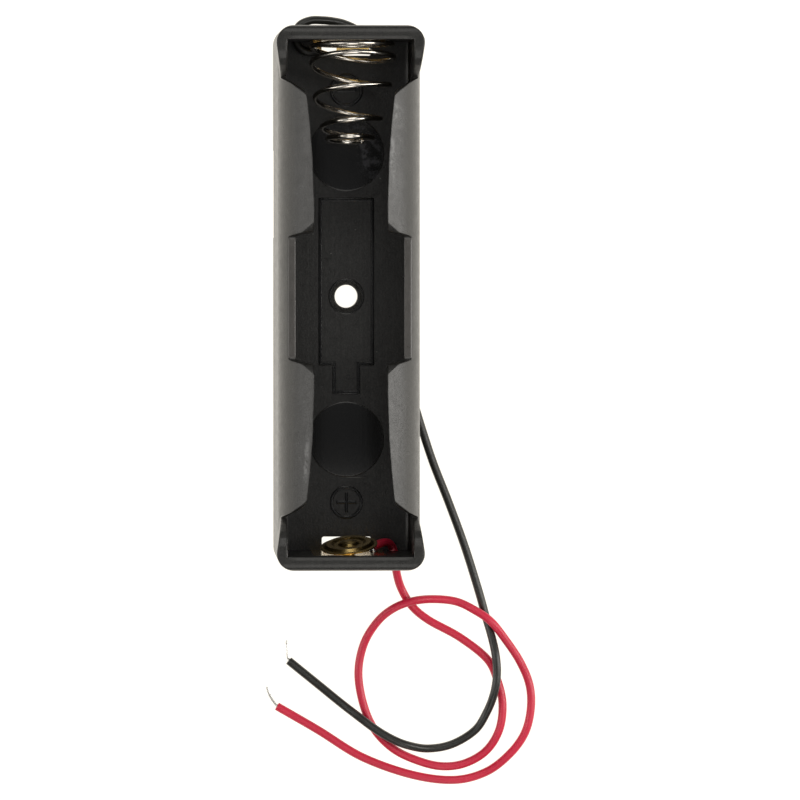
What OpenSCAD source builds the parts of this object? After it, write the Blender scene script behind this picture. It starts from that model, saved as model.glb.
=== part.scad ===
// Single-cell holder: an open moulded tray with four curved lips that snap over
// a round cell, a coil-spring contact at one end (+Y), a button contact at the
// other (-Y), and one soldered lead from each contact. Long axis along Y, the
// tray stands on z = 0 with its origin under its middle.

/* [Tray] */
// Length over the two end walls
body_l = 77.2; // [76.8:0.1:78]
// Width over the side walls at the base
body_w = 21; // [20.8:0.1:22]
// Height of the end walls
body_h = 20.2; // [19.8:0.1:21]
// Thickness of each end wall
end_t = 2; // [1.8:0.1:2.1]
// Thickness of the floor that the cell lies on
floor_t = 2.3; // [2.2:0.1:2.4]
// Radius of the plan-view corners
corner_r = 2.5; // [1.5:0.1:3]
// Height of the thumb ledge in the middle of each side wall
ledge_z = 16.6; // [15:0.1:17.5]

/* [Cell seat] */
// Inner radius of the seat, just over that of an 18.3 mm cell
seat_r = 9.2; // [9.2:0.05:9.3]
// Thickness of the curved lips
lip_t = 0.95; // [0.9:0.05:1]
// Half of the mouth between the lips, next to the thumb notch
mouth_mid = 5.2; // [4.6:0.1:5.6]
// Half of the mouth at the far end of the lips
mouth_end = 6.1; // [5.7:0.1:6.4]

/* [Screw hole] */
// Radius of the fixing hole, clearance for an M3 screw
screw_r = 1.65; // [1.5:0.05:1.8]
// Radius of its countersink at the floor
sink_r = 2.2; // [2:0.05:2.6]

/* [Spring] */
// Wire diameter of the contact spring
spring_wire = 0.75; // [0.6:0.05:0.8]
// Radius of its base coil, to the wire's centre
spring_r0 = 5.7; // [5.2:0.1:5.8]
// Radius of its tip coil, to the wire's centre
spring_r1 = 3.2; // [2.6:0.1:3.6]

/* [Contacts] */
// Radius of the button contact
button_r = 4.1; // [3.6:0.1:4.3]
// Thickness of the contact sheet
sheet_t = 0.35; // [0.3:0.05:0.35]

/* [Leads] */
// Outer diameter of each insulated lead
lead_d = 1.2; // [1:0.05:1.2]
// Diameter of the bare conductor at each free end
strand_d = 0.4; // [0.3:0.05:0.5]

/* [Hidden] */

hl = body_l / 2;             // half length
hw = body_w / 2;             // half width
ly = hl - end_t;             // inner face of each end wall
zc = floor_t + seat_r;       // height of the cell's axis
ro = seat_r + lip_t;         // outer radius of the lips
box_in = 8.95;               // inner half width of the end bays
box_y = 31;                  // where an end bay's side walls begin
pocket_z = 1.35;             // depth of the recess under the floor
recess_t = sheet_t;          // the contact plates sit flush in the end walls
plate_z = 16;                // top of both contact plates
far = 60;

plastic = [0.07, 0.07, 0.068];
brass = [0.80, 0.64, 0.30];
nickel = [0.78, 0.76, 0.72];
tin = [0.80, 0.80, 0.78];
red = [0.78, 0.09, 0.16];
black = [0.04, 0.04, 0.04];

// ---------------------------------------------------------------- helpers
module both_ends() { children(); rotate([0, 0, 180]) children(); }
module both_sides() { children(); mirror([1, 0, 0]) children(); }

// a section drawn in X and Z, run along Y from y0 to y1
module along_y(y0, y1) {
  translate([0, y1, 0]) rotate([90, 0, 0]) linear_extrude(height = y1 - y0) children();
}
// a side view drawn in Y and Z, run along X from x0 to x1
module along_x(x0, x1) {
  translate([x0, 0, 0]) rotate([90, 0, 90]) linear_extrude(height = x1 - x0) children();
}
module block(lo, hi) { translate(lo) cube([hi[0] - lo[0], hi[1] - lo[1], hi[2] - lo[2]]); }

// ---------------------------------------------------------------- tray
module outer_section() {
  polygon([[-hw, 0], [hw, 0], [ro, zc], [-ro, zc]]);
  intersection() {
    translate([0, zc]) circle(r = ro, $fn = 128);
    translate([-ro - 1, zc]) square([2 * ro + 2, ro + 1]);
  }
}
module seat_section() {
  translate([-seat_r, floor_t]) square([2 * seat_r, zc - floor_t]);
  intersection() {
    translate([0, zc]) circle(r = seat_r, $fn = 128);
    translate([-seat_r - 1, zc]) square([2 * seat_r + 2, seat_r + 1]);
  }
}
// plan outline of one end bay: full width at the end wall, tapering to the lips
module end_outline() {
  intersection() {
    union() {
      translate([-hw, 0]) square([body_w, hl - corner_r]);
      translate([-hw + corner_r, 0]) square([body_w - 2 * corner_r, hl]);
      both_sides() translate([hw - corner_r, hl - corner_r]) circle(r = corner_r, $fn = 64);
    }
    polygon([[-9.8, box_y], [9.8, box_y], [hw, ly - 0.6], [hw + 1, hl + 1],
             [-hw - 1, hl + 1], [-hw, ly - 0.6]]);
  }
}
// plan outline of the base, with the same rounded corners
module base_outline() {
  square([body_w, body_l - 2 * corner_r], center = true);
  square([body_w - 2 * corner_r, body_l], center = true);
  for (x = [-1, 1], y = [-1, 1])
    translate([x * (hw - corner_r), y * (hl - corner_r)]) circle(r = corner_r, $fn = 64);
}
// plan outline of one half of the mouth between the lips
module mouth_outline() {
  polygon([[-mouth_mid, -1], [-mouth_mid, 12], [-mouth_mid - 0.4, 23],
           [-mouth_end + 0.1, 26], [-mouth_end, 28.2], [-6.5, 29.2], [-box_in, 31.4],
           [-box_in, ly], [box_in, ly], [box_in, 31.4], [6.5, 29.2],
           [mouth_end, 28.2], [mouth_end - 0.1, 26], [mouth_mid + 0.4, 23],
           [mouth_mid, 12], [mouth_mid, -1]]);
}
// side view of the dip between an end bay and a lip
module dip_view() {
  polygon([[28.6, far], [28.6, 19.5], [29.3, 18.9], [29.9, 18.2], [30.5, 17.1],
           [30.9, 15.8], [31.3, 15.0], [31.8, 15.2], [32.3, 16.6], [33.0, 18.1],
           [33.9, 19.2], [34.9, 19.8], [ly, body_h], [ly, far]]);
}
// side view of the thumb notch
module notch_view() {
  polygon([[-8.7, ledge_z], [8.7, ledge_z], [8.95, ledge_z + 0.25], [9.1, 18.6], [9.45, 19.15],
           [10.6, 20.15], [11, far], [-11, far], [-10.6, 20.15], [-9.45, 19.15], [-9.1, 18.6],
           [-8.95, ledge_z + 0.25]]);
}
// raised lines on the floor: cell outline, polarity rings, two round pads
line_w = 0.5;
line_h = 0.2;
module ring(r, w) { difference() { circle(r = r, $fn = 96); circle(r = r - w, $fn = 96); } }
module cell_outline() {
  difference() {
    union() {
      translate([-4, -9.8]) square([8, 24]);
      translate([-2, -14]) square([4, 5]);
    }
    translate([-4 + line_w, -9.8 + line_w]) square([8 - 2 * line_w, 24 - 2 * line_w]);
    translate([-2 + line_w, -14 + line_w]) square([4 - 2 * line_w, 5]);
  }
}
module floor_marks() {
  translate([0, 0, floor_t - 0.2]) {
    linear_extrude(height = 0.2 + line_h) cell_outline();
    translate([0, 29.7]) linear_extrude(height = 0.2 + line_h) {
      ring(2.4, line_w);
      square([2.9, 0.45], center = true);
    }
    translate([0, -29.7]) linear_extrude(height = 0.2 + line_h) {
      ring(2.4, line_w);
      square([2.9, 0.45], center = true);
      square([0.45, 2.9], center = true);
    }
    for (y = [-20.6, 20.6]) translate([0, y]) linear_extrude(height = 0.2 + 0.1) circle(r = 5.4, $fn = 96);
  }
}
module wire_hole() {
  // an arched opening in the end wall, standing on the floor
  along_y(ly - 1, hl + 1) {
    translate([-8.6, floor_t]) square([2.8, 1.4]);
    translate([-7.2, floor_t + 1.4]) circle(r = 1.4, $fn = 48);
  }
}
module holder_body() {
  color(plastic) difference() {
    intersection() {
      union() {
        along_y(-ly, ly) outer_section();
        both_ends() linear_extrude(height = body_h) end_outline();
      }
      linear_extrude(height = far) base_outline();
    }
    difference() {
      along_y(-ly, ly) seat_section();
      floor_marks();
    }
    both_ends() {
      block([-box_in, box_y + 0.4, zc], [box_in, ly, far]);
      translate([0, 0, zc]) linear_extrude(height = far) mouth_outline();
      along_x(-far, far) dip_view();
      // slot through the floor under each contact
      block([-3.55, ly - 1.95, -1], [3.55, ly, floor_t + 1]);
      // shallow seat for the contact plate
      block([-5.2, ly - 1, floor_t], [5.2, ly + recess_t, plate_z]);
      wire_hole();
      // way out for a lead under the end wall and under the side wall
      block([-2, 33, -1], [6, hl + 1, pocket_z + 0.25]);
      block([8, -21, -1], [hw + 1, -8.4, pocket_z]);
    }
    along_x(-far, far) notch_view();
    // screw hole and its countersink
    translate([0, 0, -1]) cylinder(r = screw_r, h = floor_t + 2, $fn = 64);
    translate([0, 0, floor_t - (sink_r - screw_r)])
      cylinder(r1 = screw_r, r2 = sink_r + 0.5, h = sink_r - screw_r + 0.5, $fn = 64);
    // recess under the floor, around a boss for the screw
    difference() {
      block([-8.5, -34.2, -1], [8.5, 34.2, pocket_z]);
      translate([0, 0, -2]) cylinder(r = 3.6, h = 5, $fn = 64);
    }
  }
}

// ---------------------------------------------------------------- contacts
// Sheet terminal, drawn for the +Y end: upright plate, and a tab from x0 to x1
// that slopes down into the slot as far in as foot.
module terminal(top, x0, x1, foot) {
  block([-5.2, ly, floor_t], [5.2, ly + sheet_t, top]);
  drop = 0.55 * foot;
  along_x(x0, x1)
    polygon([[ly + 0.1, floor_t + 0.55], [ly, floor_t + 0.55], [ly - foot, floor_t + 0.3 - drop],
             [ly - foot, floor_t - 0.1 - drop], [ly, floor_t + 0.1], [ly + 0.1, floor_t + 0.1]]);
}
module negative_plate() {
  color(brass) union() {
    terminal(plate_z, -1.4, 3.3, 1.6);
    // solder ear on the floor
    block([-5, ly - 2, floor_t], [-3.65, ly - 0.6, floor_t + sheet_t]);
    block([-4.7, ly - 0.7, floor_t], [-4, ly + 0.1, floor_t + sheet_t]);
  }
}
module positive_plate() { color(brass) rotate([0, 0, 180]) terminal(plate_z, -3.4, 3.4, 0.9); }

// Button: a dished disc with a raised ring and a domed middle, on a rivet shank.
module button_profile() {
  polygon([[0, 0.15], [1.1, 0.15], [1.5, -0.15], [2.2, -0.15], [2.6, 0.1], [3.1, 0.1],
           [3.5, -0.15], [button_r, -0.15], [button_r, 0], [3.65, 0.05], [3.2, 0.4], [2.5, 0.4],
           [2.1, 0.2], [1.6, 0.2], [1.2, 0.5], [0.6, 0.65], [0, 0.7]]);
}
button_at = [0, -ly + 1.23, zc];
module positive_button() {
  color(brass) union() {
    translate(button_at) rotate([0, 0, 5.5]) rotate([14.2, 0, 0]) rotate([-90, 0, 0])
      rotate_extrude($fn = 96) button_profile();
    translate([0, -ly, zc]) rotate([-90, 0, 0]) cylinder(r = 0.9, h = 1.55, $fn = 48);
  }
}
module solder_cap(r) {
  intersection() {
    sphere(r = r, $fn = 48);
    translate([-2 * r, -2 * r, 0]) cube([4 * r, 4 * r, 2 * r]);
  }
}
module negative_solder() {
  color(tin) translate([-4.3, ly - 1.4, floor_t + sheet_t]) solder_cap(0.55);
}
module positive_solder() {
  color(tin) translate([3.7, -ly, 6.7]) rotate([-90, 0, 0]) solder_cap(0.6);
}

// Conical compression spring, close-wound at both ends. Its coils lean a little.
coil_top = [0, 1.05, 6.06, 11.08, 13.4, 13.3];   // how far out each coil's top stands
coil_rad = [spring_r0, spring_r0 + 0.2, spring_r0 - 0.3, spring_r0 - 1.6, spring_r1, spring_r1 - 0.9];
coil_steps = 20;                                       // rings to a turn
coil_n = 5.3;
lean = 0.17;
function lerp(v, t) = let (i = min(floor(max(0, t)), len(v) - 2), f = max(0, t) - i) v[i] * (1 - f) + v[i + 1] * f;
function smooth(v, t) = (lerp(v, max(0, t - 0.2)) + lerp(v, t) + lerp(v, min(len(v) - 1, t + 0.2))) / 3;
function coil_pt(t) =
  let (a = 90 + 360 * t, r = smooth(coil_rad, t), d = smooth(coil_top, t),
       x = r * cos(a), z = r * sin(a), k = max(0.1, min(1, 1.7 * t)))
  [0.6 - 0.045 * d + x, ly - spring_wire / 2 - d + lean * (1 - 0.07 * max(0, t)) * k * (z - r) - 0.055 * k * x, zc + z + 0.03 * d];
function unit(v) = v / norm(v);
function coil_ring(t, n = 8) =
  let (p = coil_pt(t), d = unit(coil_pt(t + 0.01) - coil_pt(t - 0.01)),
       s = unit(cross(d, [0, 1, 0])), u = cross(s, d))
  [for (k = [0:n - 1]) p + spring_wire / 2 * (cos(360 / n * (k + 0.5)) * s + sin(360 / n * (k + 0.5)) * u)];
// skin a list of rings into one closed tube
function flat(v) = [for (a = v) each a];
module tube(rings) {
  n = len(rings[0]);
  m = len(rings);
  polyhedron(points = flat(rings),
    faces = concat(
      [[for (k = [0:n - 1]) k]],
      [for (i = [0:m - 2], k = [0:n - 1])
        let (a = i * n + k, b = i * n + (k + 1) % n) each [[a, a + n, b], [b, a + n, b + n]]],
      [[for (k = [n - 1:-1:0]) (m - 1) * n + k]]));
}
module negative_spring() {
  color(nickel) tube([for (i = [0:coil_n * coil_steps]) coil_ring(i / coil_steps - 0.65)]);
}

// ---------------------------------------------------------------- leads
// Each route is a smooth curve through these points: out of the tray, down to
// the surface, and over itself or the other lead in low humps.
low = 0.6;
red_route = [
  [3.9, -35.75, 6.9], [5.0, -35.35, 6.3], [6.0, -35.45, 5.3], [6.7, -36.4, 4.2], [7.0, -38.0, 3.1],
  [7.35, -40.3, 1.9], [8.1, -42.5, 0.9], [9.6, -44.9, low], [12, -46.9, low], [16.5, -49.4, low],
  [20.5, -52.6, low], [22, -55.8, low], [22.7, -59.2, low], [22.2, -62.9, low], [20.3, -65.9, low],
  [17.2, -67.7, low], [13.8, -68.1, low], [10.2, -67.2, low], [6.8, -65.5, low], [4.1, -62.7, low],
  [2.5, -59, low], [1.8, -54.5, low], [2.6, -50.3, low], [4.6, -47, 1.0], [7, -45, 1.9],
  [9.8, -44, 2.1], [12.8, -43.8, 1.4], [16, -44.2, 1.0], [18.6, -45.4, 1.9], [20.9, -47, 2.2],
  [23, -49.6, 1.3], [25.2, -52.9, low], [26.6, -56.3, low], [26.8, -59.8, low], [25.9, -63.4, low],
  [23.6, -66.5, low], [20.2, -69, low], [15.6, -70.1, low], [9.5, -69.3, low], [2.3, -66.7, low],
  [-4, -62.8, low], [-10, -59.3, low]];
black_route = [
  [-4.1, 35.25, 3.0], [-5.5, 35.15, 3.3], [-6.8, 35.85, 3.45], [-7.35, 37.4, 3.35], [-6.75, 38.95, 3.1],
  [-5.2, 39.7, 2.7], [-3.4, 39.75, 2.1], [-1.8, 39.6, 1.5], [-0.2, 39.25, 0.9], [1.6, 38.4, low],
  [3.3, 36.8, low], [4.6, 34.6, low], [4.9, 30, low], [4.6, 20, low], [4.7, 10, low],
  [5.4, 2, low], [6.8, -5, low], [8.4, -10.8, low], [9.9, -15.6, low], [11.1, -19.5, low],
  [12.7, -24.3, low], [14.9, -29.9, low], [17.2, -36.2, low], [19.2, -42.6, low], [20.2, -46.2, low],
  [21, -49, 1.2], [21.6, -51.8, 1.9], [21.8, -54.6, 2.0], [21.4, -57.4, 1.9], [20.4, -60.2, 1.1],
  [18.7, -62.9, low], [15.4, -64.9, low], [11.9, -65.5, 0.9], [8.8, -64.9, 1.9], [6.4, -63.9, 2.0],
  [4.1, -62.5, 2.0], [1.7, -60.7, 1.9], [-0.8, -58.8, 1.0], [-4, -56.2, low], [-8.3, -52.7, low]];

// smooth curve through the points (uniform Catmull-Rom), t from 0 to len - 1
function at(v, i) = v[max(0, min(len(v) - 1, i))];
function curve(v, t) =
  let (i = min(floor(t), len(v) - 2), f = t - i,
       a = i > 0 ? v[i - 1] : 2 * v[0] - v[1], b = v[i], c = v[i + 1],
       d = i + 2 < len(v) ? v[i + 2] : 2 * v[i + 1] - v[i])
  0.5 * (2 * b + (c - a) * f + (2 * a - 5 * b + 4 * c - d) * f * f + (3 * b - a - 3 * c + d) * f * f * f);
function route_ring(v, t, r, n = 8) =
  let (e = 0.02, m = len(v) - 1, p = curve(v, t),
       d = unit(curve(v, min(m, t + e)) - curve(v, max(0, t - e))),
       s = unit(cross(d, [0, 0, 1])), u = cross(s, d))
  [for (k = [0:n - 1]) p + r * (cos(360 / n * (k + 0.5)) * s + sin(360 / n * (k + 0.5)) * u)];
module lead(v, r) { tube([for (i = [0:len(v) - 1]) route_ring(v, i, r)]); }

module red_lead() { color(red) lead(red_route, lead_d / 2); }
module black_lead() { color(black) lead(black_route, lead_d / 2); }
// bare conductor bent up a little out of the cut end of the insulation
module red_lead_end() {
  color(tin) lead([[-9.6, -59.5, 0.6], [-10.2, -59, 0.5], [-11, -57.8, 0.4], [-11.5, -56.5, 0.3]], strand_d / 2);
}
module black_lead_end() {
  color(tin) lead([[-8, -53, 0.6], [-8.4, -52.3, 0.5], [-8.5, -51, 0.4], [-8.6, -49.8, 0.3]], strand_d / 2);
}

holder_body();
negative_plate();
negative_spring();
negative_solder();
positive_plate();
positive_button();
positive_solder();
red_lead();
red_lead_end();
black_lead();
black_lead_end();
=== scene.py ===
import math
import bmesh
import bpy
import numpy as np
from mathutils import Vector, Matrix


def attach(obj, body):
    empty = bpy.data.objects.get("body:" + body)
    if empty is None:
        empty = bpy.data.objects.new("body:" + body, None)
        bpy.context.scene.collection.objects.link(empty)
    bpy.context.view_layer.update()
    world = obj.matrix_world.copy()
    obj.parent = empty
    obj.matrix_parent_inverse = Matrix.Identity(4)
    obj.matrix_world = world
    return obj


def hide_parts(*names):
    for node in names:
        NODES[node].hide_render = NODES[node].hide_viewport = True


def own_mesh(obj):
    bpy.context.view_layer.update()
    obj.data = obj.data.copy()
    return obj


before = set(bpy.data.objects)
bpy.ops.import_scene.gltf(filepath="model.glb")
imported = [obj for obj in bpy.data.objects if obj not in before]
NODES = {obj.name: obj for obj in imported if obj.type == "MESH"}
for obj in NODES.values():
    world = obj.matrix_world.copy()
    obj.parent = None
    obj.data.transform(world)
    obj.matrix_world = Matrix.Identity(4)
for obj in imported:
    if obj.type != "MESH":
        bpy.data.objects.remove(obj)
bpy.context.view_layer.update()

MM = 0.001

# ------------------------------------------------------------------ sizes, mm
BODY_L, BODY_W, BODY_H = 77.2, 21.0, 20.2
HL, HW = BODY_L / 2, BODY_W / 2
END_T = 2.0
LY = HL - END_T
FLOOR = 2.3
RI, LIP = 9.2, 0.95
RO = RI + LIP
ZC = FLOOR + RI
LEDGE = 16.6
CORNER = 2.5
BAY_IN = 8.95


# ------------------------------------------------------------------ camera
def look_at(obj, eye, target, up=(0, 1, 0)):
    eye, target, up = Vector(eye), Vector(target), Vector(up)
    f = (target - eye).normalized()
    r = f.cross(up).normalized()
    u = r.cross(f)
    m = Matrix((r, u, -f)).transposed().to_4x4()
    m.translation = eye
    obj.matrix_world = m


cam_data = bpy.data.cameras.new("camera")
cam = bpy.data.objects.new("camera", cam_data)
bpy.context.scene.collection.objects.link(cam)
look_at(cam, (-0.0329, 0.0144, 0.900), (0.0074, -0.0147, 0.010))
cam_data.sensor_width = 36
cam_data.lens = 280.4
cam_data.clip_start = 0.01
cam_data.clip_end = 20
bpy.context.scene.camera = cam


# ------------------------------------------------------------------ mesh tools
def add_mesh(name, verts, faces, mat=None, sharp=40, body="holder"):
    """verts in mm; one object in metres, smooth with sharp edges kept."""
    me = bpy.data.meshes.new(name)
    me.from_pydata([tuple(float(c) * MM for c in v) for v in verts], [], [tuple(int(i) for i in f) for f in faces])
    me.validate()
    me.polygons.foreach_set("use_smooth", [True] * len(me.polygons))
    if sharp:
        me.set_sharp_from_angle(angle=math.radians(sharp))
    me.update()
    ob = bpy.data.objects.new(name, me)
    bpy.context.scene.collection.objects.link(ob)
    if mat:
        me.materials.append(mat)
    if body:
        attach(ob, body)
    return ob


def unit(v):
    v = np.asarray(v, float)
    return v / np.linalg.norm(v)


def tube(path, radius, sides=16, caps=True, up=None):
    """Rings of a round tube along path, with a frame carried along it."""
    path = np.asarray(path, float)
    n = len(path)
    rad = np.full(n, radius, float) if np.isscalar(radius) else np.asarray(radius, float)
    tan = np.gradient(path, axis=0)
    # repeated points, as at a cut end, take their neighbour's direction
    for i in range(n):
        if np.linalg.norm(tan[i]) < 1e-9:
            tan[i] = tan[i - 1] if i else tan[i + 1]
    tan /= np.linalg.norm(tan, axis=1)[:, None]
    s = np.cross(tan[0], [0, 0, 1] if up is None else up)
    s = unit(s)
    verts, faces = [], []
    for i in range(n):
        s = s - tan[i] * s.dot(tan[i])
        s = unit(s)
        u = np.cross(s, tan[i])
        for k in range(sides):
            a = 2 * math.pi * k / sides
            verts.append(path[i] + rad[i] * (math.cos(a) * s + math.sin(a) * u))
    for i in range(n - 1):
        for k in range(sides):
            a, b = i * sides + k, i * sides + (k + 1) % sides
            faces.append((a, b, b + sides, a + sides))
    if caps:
        faces.append(tuple(range(sides))[::-1])
        faces.append(tuple((n - 1) * sides + k for k in range(sides)))
    return verts, faces


def catmull(points, steps):
    """The same smooth curve through the points that the leads' solids follow."""
    p = np.asarray(points, float)
    out = []
    for i in range(len(p) - 1):
        a = p[i - 1] if i else 2 * p[0] - p[1]
        b, c = p[i], p[i + 1]
        d = p[i + 2] if i + 2 < len(p) else 2 * p[i + 1] - p[i]
        for j in range(steps):
            f = j / steps
            out.append(0.5 * (2 * b + (c - a) * f + (2 * a - 5 * b + 4 * c - d) * f * f
                              + (3 * b - a - 3 * c + d) * f ** 3))
    out.append(p[-1])
    return np.array(out)


def length(p):
    return float(np.linalg.norm(np.diff(p, axis=0), axis=1).sum())


# ------------------------------------------------------------------ leads
LOW = 0.6
RED_ROUTE = [
    (3.9, -35.75, 6.9), (5.0, -35.35, 6.3), (6.0, -35.45, 5.3), (6.7, -36.4, 4.2), (7.0, -38.0, 3.1),
    (7.35, -40.3, 1.9), (8.1, -42.5, 0.9), (9.6, -44.9, LOW), (12, -46.9, LOW), (16.5, -49.4, LOW),
    (20.5, -52.6, LOW), (22, -55.8, LOW), (22.7, -59.2, LOW), (22.2, -62.9, LOW), (20.3, -65.9, LOW),
    (17.2, -67.7, LOW), (13.8, -68.1, LOW), (10.2, -67.2, LOW), (6.8, -65.5, LOW), (4.1, -62.7, LOW),
    (2.5, -59, LOW), (1.8, -54.5, LOW), (2.6, -50.3, LOW), (4.6, -47, 1.0), (7, -45, 1.9),
    (9.8, -44, 2.1), (12.8, -43.8, 1.4), (16, -44.2, 1.0), (18.6, -45.4, 1.9), (20.9, -47, 2.2),
    (23, -49.6, 1.3), (25.2, -52.9, LOW), (26.6, -56.3, LOW), (26.8, -59.8, LOW), (25.9, -63.4, LOW),
    (23.6, -66.5, LOW), (20.2, -69, LOW), (15.6, -70.1, LOW), (9.5, -69.3, LOW), (2.3, -66.7, LOW),
    (-4, -62.8, LOW), (-10, -59.3, LOW)]
BLACK_ROUTE = [
    (-4.1, 35.25, 3.0), (-5.5, 35.15, 3.3), (-6.8, 35.85, 3.45), (-7.35, 37.4, 3.35), (-6.75, 38.95, 3.1),
    (-5.2, 39.7, 2.7), (-3.4, 39.75, 2.1), (-1.8, 39.6, 1.5), (-0.2, 39.25, 0.9), (1.6, 38.4, LOW),
    (3.3, 36.8, LOW), (4.6, 34.6, LOW), (4.9, 30, LOW), (4.6, 20, LOW), (4.7, 10, LOW),
    (5.4, 2, LOW), (6.8, -5, LOW), (8.4, -10.8, LOW), (9.9, -15.6, LOW), (11.1, -19.5, LOW),
    (12.7, -24.3, LOW), (14.9, -29.9, LOW), (17.2, -36.2, LOW), (19.2, -42.6, LOW), (20.2, -46.2, LOW),
    (21, -49, 1.2), (21.6, -51.8, 1.9), (21.8, -54.6, 2.0), (21.4, -57.4, 1.9), (20.4, -60.2, 1.1),
    (18.7, -62.9, LOW), (15.4, -64.9, LOW), (11.9, -65.5, 0.9), (8.8, -64.9, 1.9), (6.4, -63.9, 2.0),
    (4.1, -62.5, 2.0), (1.7, -60.7, 1.9), (-0.8, -58.8, 1.0), (-4, -56.2, LOW), (-8.3, -52.7, LOW)]
LEAD_R = 0.6


def jacket(path):
    """Tube of insulation with two cut ends, each a little rounded, with a hole for the strands."""
    d0, d1 = unit(path[0] - path[1]), unit(path[-1] - path[-2])
    body = list(path)
    rad = [LEAD_R] * len(body)
    head = [(path[0] - 0.14 * d0, 0.30), (path[0] - 0.10 * d0, 0.30), (path[0] - 0.02 * d0, 0.33),
            (path[0], 0.40), (path[0], 0.50), (path[0] - 0.02 * d0, 0.56), (path[0] - 0.07 * d0, 0.595)]
    tail = [(path[-1] - 0.07 * d1, 0.595), (path[-1] - 0.02 * d1, 0.56), (path[-1], 0.50),
            (path[-1], 0.40), (path[-1] - 0.02 * d1, 0.33), (path[-1] - 0.10 * d1, 0.30), (path[-1] - 0.14 * d1, 0.30)]
    pts = [h[0] for h in head] + body[1:-1] + [t[0] for t in tail]
    rr = [h[1] for h in head] + rad[1:-1] + [t[1] for t in tail]
    return np.array(pts), rr


def lead_mesh(path, sides=16):
    pts, rr = jacket(path)
    n = len(pts)
    tan = np.zeros((n, 3))
    inner = np.gradient(path, axis=0)
    for i in range(n):
        if i < 7:
            tan[i] = path[1] - path[0]
        elif i >= n - 7:
            tan[i] = path[-1] - path[-2]
        else:
            tan[i] = inner[i - 6]
    tan /= np.linalg.norm(tan, axis=1)[:, None]
    verts, faces = [], []
    s = unit(np.cross(tan[0], [0, 0, 1]))
    for i in range(n):
        s = unit(s - tan[i] * s.dot(tan[i]))
        u = np.cross(s, tan[i])
        for k in range(sides):
            a = 2 * math.pi * k / sides
            verts.append(pts[i] + rr[i] * (math.cos(a) * s + math.sin(a) * u))
    for i in range(n - 1):
        for k in range(sides):
            a, b = i * sides + k, i * sides + (k + 1) % sides
            faces.append((a, b, b + sides, a + sides))
    faces.append(tuple(range(sides))[::-1])
    faces.append(tuple((n - 1) * sides + k for k in range(sides)))
    return verts, faces


def strands(route, r=0.2, count=5, turns=1.4):
    """A short bundle of tinned strands, twisted round its own line and tapering a little."""
    p = catmull(route, 8)
    n = len(p)
    verts, faces = [], []
    tan = np.gradient(p, axis=0)
    tan /= np.linalg.norm(tan, axis=1)[:, None]
    for c in range(count):
        ph = 2 * math.pi * c / count
        line = []
        s = unit(np.cross(tan[0], [0, 0, 1]))
        for i in range(n):
            s = unit(s - tan[i] * s.dot(tan[i]))
            u = np.cross(s, tan[i])
            a = ph + turns * 2 * math.pi * i / n
            k = r * 0.52 * (1 - 0.25 * i / n)
            line.append(p[i] + k * (math.cos(a) * s + math.sin(a) * u))
        cut = n - (c * 2) % 4
        rad = [r * 0.52] * cut
        rad[-1] = r * 0.3
        v, f = tube(line[:cut], rad, 8)
        o = len(verts)
        verts += v
        faces += [tuple(i + o for i in g) for g in f]
    return verts, faces


# ------------------------------------------------------------------ materials
def material(name):
    m = bpy.data.materials.new(name)
    m.use_nodes = True
    nt = m.node_tree
    bsdf = next(n for n in nt.nodes if n.type == "BSDF_PRINCIPLED")
    return m, nt, bsdf


def node(nt, kind, **inputs):
    n = nt.nodes.new(kind)
    for k, v in inputs.items():
        if k in ("operation", "blend_type", "data_type", "noise_dimensions", "feature", "interpolation", "clamp",
                 "noise_type", "wave_type", "bands_direction", "distance"):
            setattr(n, k, v)
        else:
            key = int(k[1:]) if k[0] == "i" and k[1:].isdigit() else k.replace("_", " ")
            n.inputs[key].default_value = v
    return n


def link(nt, a, b):
    nt.links.new(a, b)


def ramp(nt, src, stops):
    r = nt.nodes.new("ShaderNodeValToRGB")
    e = r.color_ramp.elements
    while len(e) < len(stops):
        e.new(0.5)
    for el, (p, c) in zip(e, stops):
        el.position = p
        el.color = (*c, 1) if len(c) == 3 else c
    link(nt, src, r.inputs[0])
    return r


def grey(v):
    return (v, v, v)


def calc(nt, op, a, b=None, c=None):
    """Math node; each input is a socket or a number."""
    n = nt.nodes.new("ShaderNodeMath")
    n.operation = op
    for k, v in enumerate((a, b, c)):
        if v is None:
            continue
        if isinstance(v, (int, float)):
            n.inputs[k].default_value = v
        else:
            link(nt, v, n.inputs[k])
    return n.outputs[0]


def spot(nt, xyz, cx, cy, rx, ry, soft, turn=0.0):
    """1 inside an ellipse on the plan (mm), 0 outside, over a soft edge."""
    ca, sa = math.cos(math.radians(turn)), math.sin(math.radians(turn))
    x = calc(nt, "SUBTRACT", xyz[0], cx * MM)
    y = calc(nt, "SUBTRACT", xyz[1], cy * MM)
    u = calc(nt, "ADD", calc(nt, "MULTIPLY", x, ca / (rx * MM)), calc(nt, "MULTIPLY", y, sa / (rx * MM)))
    w = calc(nt, "ADD", calc(nt, "MULTIPLY", x, -sa / (ry * MM)), calc(nt, "MULTIPLY", y, ca / (ry * MM)))
    d = calc(nt, "SQRT", calc(nt, "ADD", calc(nt, "MULTIPLY", u, u), calc(nt, "MULTIPLY", w, w)))
    n = nt.nodes.new("ShaderNodeMapRange")
    n.interpolation_type = "SMOOTHSTEP"
    link(nt, d, n.inputs["Value"])
    n.inputs["From Min"].default_value = 1.0 + soft
    n.inputs["From Max"].default_value = 1.0 - soft
    return n.outputs["Result"]


def mixed(nt, fac, a, b):
    """Colour mix; a is a socket, b a colour."""
    m = nt.nodes.new("ShaderNodeMix")
    m.data_type = "RGBA"
    link(nt, fac, m.inputs[0])
    link(nt, a, m.inputs[6])
    m.inputs[7].default_value = (*b, 1)
    return m.outputs[2]


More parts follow.
